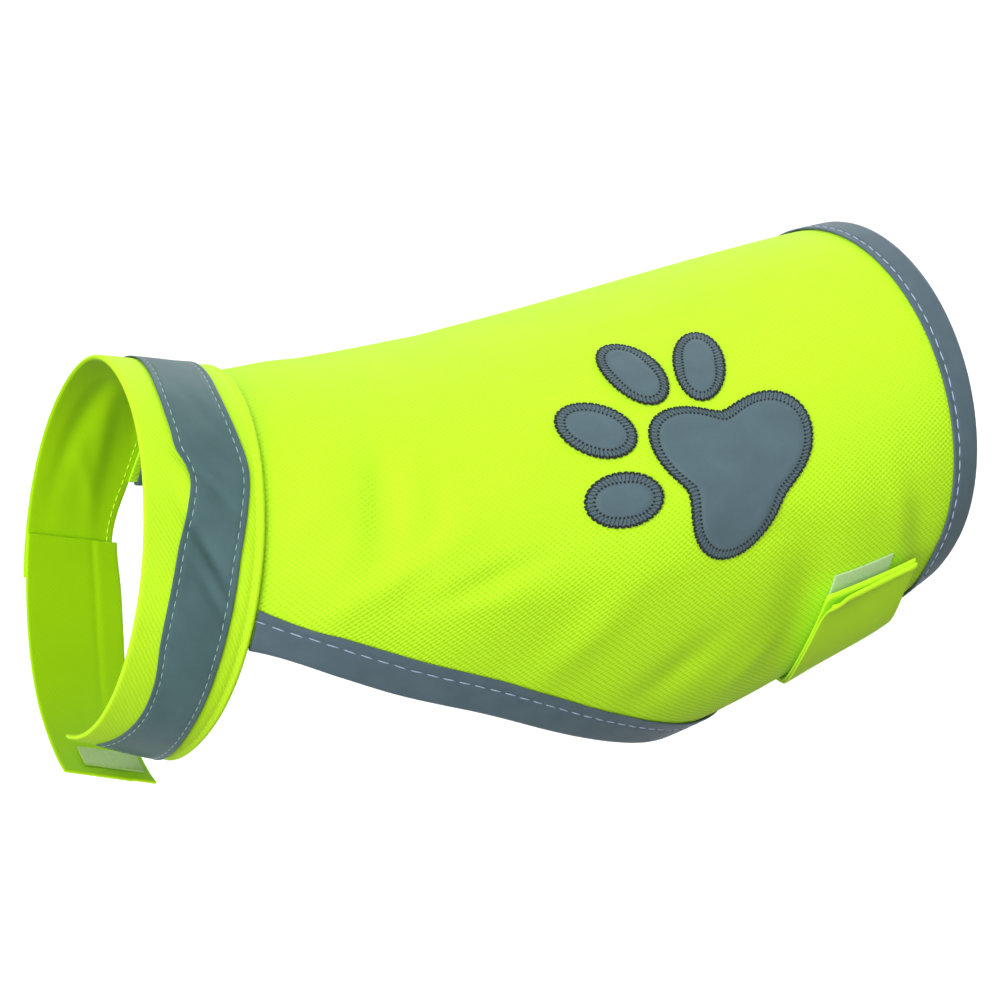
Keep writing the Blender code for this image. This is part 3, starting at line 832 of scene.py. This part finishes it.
strap_inner = cloth("belly_strap_lining_layer", strap_layer(0.5 * STRAP_LAYER, STRAP_TIP, 0.0),
                    (STRAP_ARC, STRAP_WIDE), (150, 32), STRAP_LAYER, 0.0, STRAP_CLOTH,
                    rolled_end)
strap_outer = cloth("belly_strap_outer_layer",
                    strap_layer(1.7 * STRAP_LAYER, STRAP_TIP + OUTER_SHORT, CORNER_OPEN),
                    (STRAP_ARC, STRAP_WIDE), (150, 32), STRAP_LAYER, 0.0, STRAP_CLOTH,
                    rolled_end)


def patch_sheet(s, t, high):
    return panel(between(PATCH["front"], PATCH["rear"], t),
                 between(PATCH["top"], PATCH["bottom"], s), high)


belly_patch = cloth("belly_loop_patch", patch_sheet, (18.0, 24.0), (30, 40), FASTENER_CLOTH,
                    SEAM_GAP + 0.5 * FASTENER_CLOTH, LOOP_TAPE)


# ================================================================ paw motif
def spread(centre):
    """Millimetres per unit along and per degree at a point of the panel."""
    u, a = centre
    e = 1e-3
    return (np.linalg.norm(panel(u + e, a) - panel(u - e, a)) / (2.0 * e),
            np.linalg.norm(panel(u, a + 0.5) - panel(u, a - 0.5)))


def on_flank(centre, toward_hem, toward_spine, high):
    per_u, per_degree = spread(centre)
    return panel(centre[0] + toward_hem / per_u, centre[1] - toward_spine / per_degree, high)


def pad_reach(turn):
    turn = np.degrees(turn)
    rows = list(PAD_OUTLINE) + [(PAD_OUTLINE[0][0] + 360.0, PAD_OUTLINE[0][1])]
    turn = (turn - rows[0][0]) % 360.0 + rows[0][0]
    a, b = np.array(rows).T
    i = np.clip(np.searchsorted(a, turn, side="right") - 1, 0, len(a) - 2)
    return between(b[i], b[i + 1], smooth((turn - a[i]) / (a[i + 1] - a[i])))


def toe_reach(toe):
    def reach(turn):
        off = turn - np.radians(toe["slant"])
        return 1.0 / np.hypot(np.cos(off) / toe["long"], np.sin(off) / toe["wide"])
    return reach


STITCHED_IN = 2.6           # width of the zigzag that holds the motif down, mm
PUFF_HIGH, PUFF_RUN = 0.35, 2.5         # the motif's middle stands up a little


def motif(name, centre, reach, size):
    """A patch laid on the flank, pressed down under its zigzag edge."""
    def sheet(s, t, high):
        y, x = 2.0 * s - 1.0, 2.0 * t - 1.0
        out_x, out_y = x * np.sqrt(1.0 - 0.5 * y * y), y * np.sqrt(1.0 - 0.5 * x * x)
        turn = np.arctan2(-out_y, out_x)
        far = reach(turn)
        out = np.hypot(out_x, out_y)
        puff = PUFF_HIGH * smooth(((1.0 - out) * far - STITCHED_IN) / PUFF_RUN)
        return on_flank(centre, out_x * far, -out_y * far, high + puff)
    return cloth(name, sheet, (size, size), (56, 56), MOTIF_CLOTH,
                 SEAM_GAP + 0.5 * MOTIF_CLOTH, MOTIF_GREY)


PAD_SIZE, TOE_SIZE = 52.0, 24.0
MOTIFS = {"paw_pad": (PAD_CENTRE, pad_reach, PAD_SIZE)}
for toe_name, toe in TOES.items():
    MOTIFS[toe_name] = (toe["at"], toe_reach(toe), TOE_SIZE)
motifs = {name: motif(name + "_patch", *facts) for name, facts in MOTIFS.items()}


# ================================================================ stitching
def sewing_tree():
    """Geometry nodes: one thread stitch laid again and again along a sewn path. The
    path's points carry "across", in the cloth and square to the path, and "outward"."""
    tree = bpy.data.node_groups.new("sewing", "GeometryNodeTree")
    tree.interface.new_socket("Geometry", in_out="INPUT", socket_type="NodeSocketGeometry")
    for name, start in (("Pitch", 3.0 * MM), ("Stitch Length", 2.4 * MM),
                        ("Thread Diameter", 0.5 * MM), ("Lean", 0.0), ("Unevenness", 0.04)):
        tree.interface.new_socket(name, in_out="INPUT",
                                  socket_type="NodeSocketFloat").default_value = start
    tree.interface.new_socket("Seed", in_out="INPUT", socket_type="NodeSocketInt")
    tree.interface.new_socket("Thread", in_out="INPUT", socket_type="NodeSocketMaterial")
    tree.interface.new_socket("Geometry", in_out="OUTPUT", socket_type="NodeSocketGeometry")
    given = tree.nodes.new("NodeGroupInput").outputs

    path = add(tree, "GeometryNodeMeshToCurve", (), {"Mesh": given["Geometry"]})
    even = add(tree, "GeometryNodeResampleCurve", {"mode": "LENGTH"},
               {"Curve": path.outputs["Curve"], "Length": given["Pitch"]})
    across = add(tree, "GeometryNodeInputNamedAttribute",
                 {"data_type": "FLOAT_VECTOR", "Name": "across"})
    outward = add(tree, "GeometryNodeInputNamedAttribute",
                  {"data_type": "FLOAT_VECTOR", "Name": "outward"})
    tangent = add(tree, "GeometryNodeInputTangent")
    index = add(tree, "GeometryNodeInputIndex")
    odd = add(tree, "ShaderNodeMath", {"operation": "MODULO", 1: 2.0},
              {0: index.outputs["Index"]})
    side = add(tree, "ShaderNodeMath", {"operation": "MULTIPLY_ADD", 1: 2.0, 2: -1.0},
               {0: odd.outputs["Value"]})
    chance = add(tree, "FunctionNodeRandomValue", {"data_type": "FLOAT", 2: -1.0, 3: 1.0},
                 {"Seed": given["Seed"]})
    wander = add(tree, "ShaderNodeMath", {"operation": "MULTIPLY"},
                 {0: chance.outputs[1], 1: given["Unevenness"]})
    lean = add(tree, "ShaderNodeMath", {"operation": "MULTIPLY_ADD"},
               {0: side.outputs["Value"], 1: given["Lean"], 2: wander.outputs["Value"]})
    cosine = add(tree, "ShaderNodeMath", {"operation": "COSINE"}, {0: lean.outputs["Value"]})
    sine = add(tree, "ShaderNodeMath", {"operation": "SINE"}, {0: lean.outputs["Value"]})
    along = add(tree, "ShaderNodeVectorMath", {"operation": "SCALE"},
                {0: tangent.outputs["Tangent"], "Scale": cosine.outputs["Value"]})
    over = add(tree, "ShaderNodeVectorMath", {"operation": "SCALE"},
               {0: across.outputs["Attribute"], "Scale": sine.outputs["Value"]})
    way = add(tree, "ShaderNodeVectorMath", {"operation": "ADD"},
              {0: along.outputs["Vector"], 1: over.outputs["Vector"]})
    turned = add(tree, "FunctionNodeAxesToRotation",
                 {"primary_axis": "X", "secondary_axis": "Z"},
                 {"Primary Axis": way.outputs["Vector"],
                  "Secondary Axis": outward.outputs["Attribute"]})
    size = add(tree, "ShaderNodeCombineXYZ", (), {
        "X": given["Stitch Length"], "Y": given["Thread Diameter"],
        "Z": given["Thread Diameter"]})
    stitch = add(tree, "GeometryNodeMeshUVSphere",
                 {"Segments": 8, "Rings": 5, "Radius": 0.5})
    laid = add(tree, "GeometryNodeInstanceOnPoints", (), {
        "Points": even.outputs["Curve"], "Instance": stitch.outputs["Mesh"],
        "Rotation": turned.outputs["Rotation"], "Scale": size.outputs["Vector"]})
    real = add(tree, "GeometryNodeRealizeInstances", (), {"Geometry": laid.outputs["Instances"]})
    round_ = add(tree, "GeometryNodeSetShadeSmooth", (), {"Geometry": real.outputs["Geometry"]})
    threaded = add(tree, "GeometryNodeSetMaterial", (), {
        "Geometry": round_.outputs["Geometry"], "Material": given["Thread"]})
    end = tree.nodes.new("NodeGroupOutput")
    tree.links.new(threaded.outputs["Geometry"], end.inputs["Geometry"])
    return tree


SEWING = sewing_tree()


def sewn(name, paths, thread, pitch, length, diameter, lean=0.0, uneven=3.0, seed=1):
    """Stitches along paths. Each path is at(k, side, lift), points in mm for k 0..1,
    side mm across the path and lift mm out of the cloth, with its number of points."""
    points, ways, outs, edges = [], [], [], []
    for at, count in paths:
        k = np.linspace(0.0, 1.0, count)
        first = sum(len(p) for p in points)
        points.append(at(k, 0.0, 0.0))
        ways.append(at(k, 0.5, 0.0) - at(k, -0.5, 0.0))
        outs.append(at(k, 0.0, 0.5) - at(k, 0.0, -0.5))
        edges += [(first + i, first + i + 1) for i in range(count - 1)]
    mesh = bpy.data.meshes.new(name)
    laid = (np.concatenate(points) - np.array([0.0, 0.0, BACK_HEIGHT])) * MM
    mesh.from_pydata(laid.tolist(), edges, [])
    for key, rows in (("across", ways), ("outward", outs)):
        rows = np.concatenate(rows)
        rows /= np.linalg.norm(rows, axis=-1, keepdims=True)
        mesh.attributes.new(key, "FLOAT_VECTOR", "POINT").data.foreach_set(
            "vector", rows.astype(np.float32).ravel())
    path = link(bpy.data.objects.new(name + "_path", mesh))
    sewing = path.modifiers.new("sewing", "NODES")
    sewing.node_group = SEWING
    values = {"Pitch": pitch * MM, "Stitch Length": length * MM,
              "Thread Diameter": diameter * MM, "Lean": np.radians(lean),
              "Unevenness": np.radians(uneven), "Seed": seed, "Thread": thread}
    for item in SEWING.interface.items_tree:
        if item.in_out == "INPUT" and item.name in values:
            value = values[item.name]
            sewing[item.identifier] = value if item.name in ("Seed", "Thread") else float(value)
    shown = path.evaluated_get(bpy.context.evaluated_depsgraph_get())
    done = bpy.data.meshes.new_from_object(shown)
    done.name = name
    for key in ("across", "outward"):
        if key in done.attributes:
            done.attributes.remove(done.attributes[key])
    bpy.data.objects.remove(path, do_unlink=True)
    return link(bpy.data.objects.new(name, done))


TAPE_SEAM_LIFT = SEAM_GAP + TAPE_CLOTH - STITCH_SUNK
TAPE_MARGIN = TAPE_SEAM_IN / TAPE_WIDE
TAPE_END_IN, BAND_END_IN = 2.0, 1.0     # degrees in from the cut ends
TOPSTITCH_SUNK, INSIDE_LIFT = 0.35, 0.05


def tape_seam(across):
    def at(k, side, out):
        near = between(*TAPE_NEAR_END, across) - TAPE_END_IN
        return tape_point(between(TAPE_FAR_END + TAPE_END_IN, near, k),
                          across + side / TAPE_WIDE, TAPE_SEAM_LIFT + out)
    return at


def tape_end_seam(k, side, out):
    across = between(TAPE_MARGIN, 1.0 - TAPE_MARGIN, k)
    return tape_point(between(*TAPE_NEAR_END, across) - TAPE_END_IN + side, across,
                      TAPE_SEAM_LIFT + out)


def band_seam(inside=False):
    def at(k, side, out):
        v = 1.0 - (TOPSTITCH_IN + side) / COLLAR_WIDE
        angle = between(BAND_FAR_END + BAND_END_IN, BAND_NEAR_END[1] - BAND_END_IN, k)
        lift = -COLLAR_THICK - INSIDE_LIFT - out if inside else -TOPSTITCH_SUNK + out
        return collar(v, angle, lift)
    return at


def binding_seam(place, wide, seam_in, inside=False):
    def at(k, side, out):
        level = SEAM_GAP + BINDING_CLOTH - STITCH_SUNK
        if inside:
            level = -PANEL_CLOTH - level
        side_in = wide - seam_in + side + 0.0 * k
        return folded(*place(between(0.004, 0.996, k)), side_in,
                      level + (-out if inside else out) + 0.0 * k)
    return at


def motif_seam(centre, reach, edge_in, lift, inside=False):
    def at(k, side, out):
        turn = 2.0 * np.pi * k
        far = reach(turn) - edge_in - side
        level = SEAM_GAP + MOTIF_CLOTH + lift + out
        if inside:
            level = -PANEL_CLOTH - INSIDE_LIFT - out
        return on_flank(centre, np.cos(turn) * far, np.sin(turn) * far, level)
    return at


tape_stitches = sewn("tape_stitching",
                     [(tape_seam(TAPE_MARGIN), 400), (tape_seam(1.0 - TAPE_MARGIN), 400),
                      (tape_end_seam, 40)], PALE_THREAD,
                     pitch=3.3, length=2.4, diameter=0.27, seed=3)
band_stitches = sewn("collar_topstitching", [(band_seam(), 400), (band_seam(True), 400)],
                     YELLOW_THREAD, pitch=2.9, length=2.3, diameter=0.42, seed=5)
leg_stitches = []
for side_name, sign in (("near", 1.0), ("far", -1.0)):
    leg_paths = [(binding_seam(lambda s, g=sign: leg_place(s, g), LEG_BINDING_WIDE,
                               LEG_SEAM_IN, inside), 300) for inside in (False, True)]
    leg_stitches.append(sewn(side_name + "_leg_binding_stitching", leg_paths, LILAC_THREAD,
                             pitch=5.6, length=4.5, diameter=0.42, seed=7))
hem_stitches = sewn("hem_binding_stitching",
                    [(binding_seam(hem_place, HEM_BINDING_WIDE, HEM_SEAM_IN, inside), 600)
                     for inside in (False, True)], LILAC_THREAD,
                    pitch=4.6, length=3.7, diameter=0.42, seed=9)
# the motif's zigzag: legs across the edge, a dense rim outside, thick ends inside
zigzag_legs = [(motif_seam(centre, reach, 0.5 * STITCHED_IN, -0.04, inside), 400)
               for centre, reach, size in MOTIFS.values() for inside in (False, True)]
zigzag_rims = [(motif_seam(centre, reach, 0.05, -0.22), 500)
               for centre, reach, size in MOTIFS.values()]
zigzag_ends = [(motif_seam(centre, reach, STITCHED_IN + 0.15, 0.0), 400)
               for centre, reach, size in MOTIFS.values()]
motif_stitches = sewn("paw_zigzag_legs", zigzag_legs, DARK_THREAD, pitch=1.30,
                      length=STITCHED_IN, diameter=0.44, lean=84.0, uneven=7.0, seed=11)
# the rim and the needle ends take the near-black thread: partly the thread's own dark colour,
# partly painted shade where it wraps over the patch's edge
motif_rims = sewn("paw_zigzag_rim", zigzag_rims, RIM_THREAD_WITH_SHADE, pitch=0.98, length=1.55,
                  diameter=0.92, lean=58.0, uneven=14.0, seed=12)
motif_ends = sewn("paw_zigzag_needle_ends", zigzag_ends, RIM_THREAD_WITH_SHADE, pitch=1.30,
                  length=1.05, diameter=0.74, lean=84.0, uneven=16.0, seed=13)
threads = [tape_stitches, band_stitches, *leg_stitches, hem_stitches, motif_stitches,
           motif_rims, motif_ends]


# ================================================================ ride on the body, replaced imported parts hidden
REPLACED = (
    (main_panel, "main_panel"), (collar_band, "collar_band"), (collar_tape, "collar_tape"),
    (collar_tab, "collar_tab"), (collar_hook, "collar_hook_strip"),
    (near_binding, "near_leg_binding"), (far_binding, "far_leg_binding"),
    (hem_binding, "hem_binding"), (strap_outer, "belly_strap"),
    (strap_inner, "belly_strap"), (belly_patch, "belly_fastener_patch"),
) + tuple((motifs[name], name) for name in MOTIFS)
for piece, node in REPLACED:
    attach(piece, BODY)
    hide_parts(node)
for piece in threads:
    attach(piece, BODY)


# ================================================================ stage
CAMERA_TARGET = Vector((0.002, 0.0, -0.0549))
CAMERA_AZIMUTH, CAMERA_ELEVATION, CAMERA_FAR = -25.5, 28.0, 0.68
FOCAL_PIXELS, FRAME_PIXELS = 2040.0, 1001.0


def toward(azimuth, elevation):
    a, e = np.radians(azimuth), np.radians(elevation)
    return Vector((np.sin(a) * np.cos(e), -np.cos(a) * np.cos(e), np.sin(e)))


def look_from(ob, azimuth, elevation, far, target):
    back = toward(azimuth, elevation)
    ob.location = target + back * far
    ob.rotation_euler = back.to_track_quat("Z", "Y").to_euler()


camera = link(bpy.data.objects.new("camera", bpy.data.cameras.new("camera")))
camera.data.sensor_width = 36.0
camera.data.lens = camera.data.sensor_width * FOCAL_PIXELS / FRAME_PIXELS
camera.data.clip_start = 0.01
look_from(camera, CAMERA_AZIMUTH, CAMERA_ELEVATION, CAMERA_FAR, CAMERA_TARGET)
bpy.context.scene.camera = camera

# large soft lights, all far away: azimuth, elevation, width of the source in degrees,
# and the brightness that each gives a white card facing it
LIGHTS = {
    "neck_side_key": (-52.0, 28.0, 50.0, 1.08),
    "far_hem_rim": (128.0, 18.0, 60.0, 0.85),
    "overhead": (0.0, 80.0, 60.0, 0.10),
}
COOL_LIGHT, WARM_LIGHT = (0.98, 0.99, 1.08), (1.0, 1.0, 0.84)
for name, (azimuth, elevation, width, brightness) in LIGHTS.items():
    lamp = bpy.data.lights.new(name, "SUN")
    lamp.angle = np.radians(width)
    lamp.energy = brightness * np.pi
    lamp.color = COOL_LIGHT
    look_from(link(bpy.data.objects.new(name, lamp)), azimuth, elevation, 2.0, CAMERA_TARGET)

AMBIENT_BELOW, AMBIENT_ABOVE = 0.12, 0.44
world = bpy.context.scene.world or bpy.data.worlds.new("studio")
bpy.context.scene.world = world
world.use_nodes = True
world.node_tree.nodes["Background"].inputs["Color"].default_value = WARM_LIGHT + (1.0,)
sky = add(world.node_tree, "ShaderNodeTexCoord")
height = add(world.node_tree, "ShaderNodeSeparateXYZ", (), {"Vector": sky.outputs["Generated"]})
glow_level = add(world.node_tree, "ShaderNodeMapRange", {
    "From Min": -1.0, "From Max": 1.0, "To Min": AMBIENT_BELOW, "To Max": AMBIENT_ABOVE},
    {"Value": height.outputs["Z"]})
world.node_tree.links.new(glow_level.outputs["Result"],
                          world.node_tree.nodes["Background"].inputs["Strength"])
bpy.context.scene.view_settings.view_transform = "Standard"
bpy.context.scene.view_settings.look = "None"

# a pale floor well under the hanging vest, and a white backdrop round the studio
FLOOR_DROP, FLOOR_HALF, BACKDROP_RADIUS = 0.45, 9.0, 12.0
floor_height = cad_box[0].z - FLOOR_DROP
floor_mesh = bpy.data.meshes.new("floor")
floor_mesh.from_pydata([(x * FLOOR_HALF, y * FLOOR_HALF, floor_height)
                        for x, y in ((-1, -1), (1, -1), (1, 1), (-1, 1))], [], [(0, 1, 2, 3)])
floor = link(bpy.data.objects.new("floor", floor_mesh))
paint, _, _ = finish_of("pale_matt_floor", {
    "Base Color": colour("FFFFFF"), "Roughness": 0.9, "Specular IOR Level": 0.0})
floor_mesh.materials.append(paint)
floor.visible_diffuse = False

dome = bmesh.new()
bmesh.ops.create_icosphere(dome, subdivisions=4, radius=BACKDROP_RADIUS)
dome_mesh = bpy.data.meshes.new("backdrop")
dome.to_mesh(dome_mesh)
dome.free()
backdrop = link(bpy.data.objects.new("backdrop", dome_mesh))
glow, _, _ = finish_of("white_backdrop", {
    "Base Color": colour("000000"), "Specular IOR Level": 0.0,
    "Emission Color": colour("FFFFFF"), "Emission Strength": 1.0})
dome_mesh.materials.append(glow)
for seen_by in ("diffuse", "glossy", "transmission", "shadow"):
    setattr(backdrop, "visible_" + seen_by, False)
